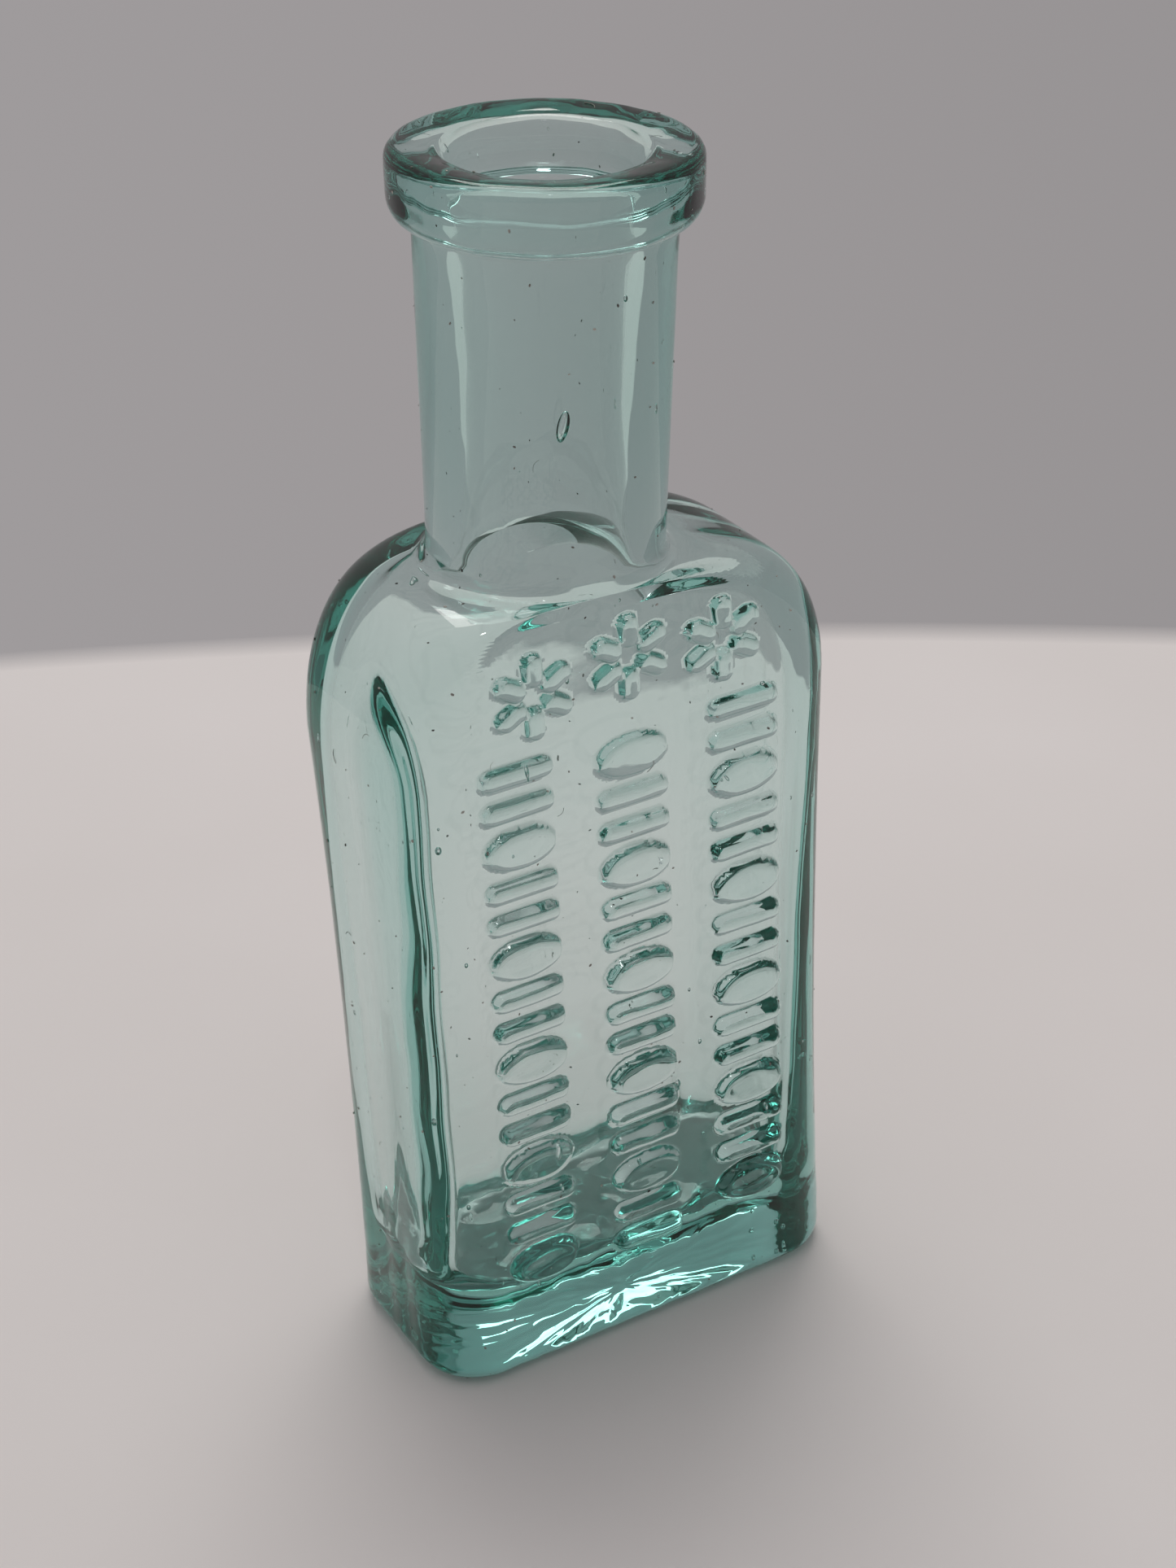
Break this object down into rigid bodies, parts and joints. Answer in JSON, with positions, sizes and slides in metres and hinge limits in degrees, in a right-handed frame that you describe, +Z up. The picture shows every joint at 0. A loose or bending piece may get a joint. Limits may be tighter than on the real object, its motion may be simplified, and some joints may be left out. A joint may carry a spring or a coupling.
{
  "type": "glass medicine bottle",
  "caption": "Small rectangular mould-blown glass bottle with arched shoulders, a leaning round neck, a laid-on collar lip and raised ornament on its front panel.",
  "frame": {"origin": "centre of the bounding box's base, which is the middle of the flat base the bottle stands on", "axes": "+Z up, from base to mouth; -Y out of the front panel with the raised ornament; +X to the right when the front panel is faced, the way the neck leans"},
  "size_m": [0.0316, 0.0182, 0.0804],
  "materials": {
    "body_glass": "clear aqua green, smooth, with seeds and a few bubbles",
    "lip_glass": "clear aqua green, fire-polished"
  },
  "bodies": {
    "root": {"blown_body": "body_glass", "laid_on_lip": "lip_glass"}
  },
  "joints": []
}
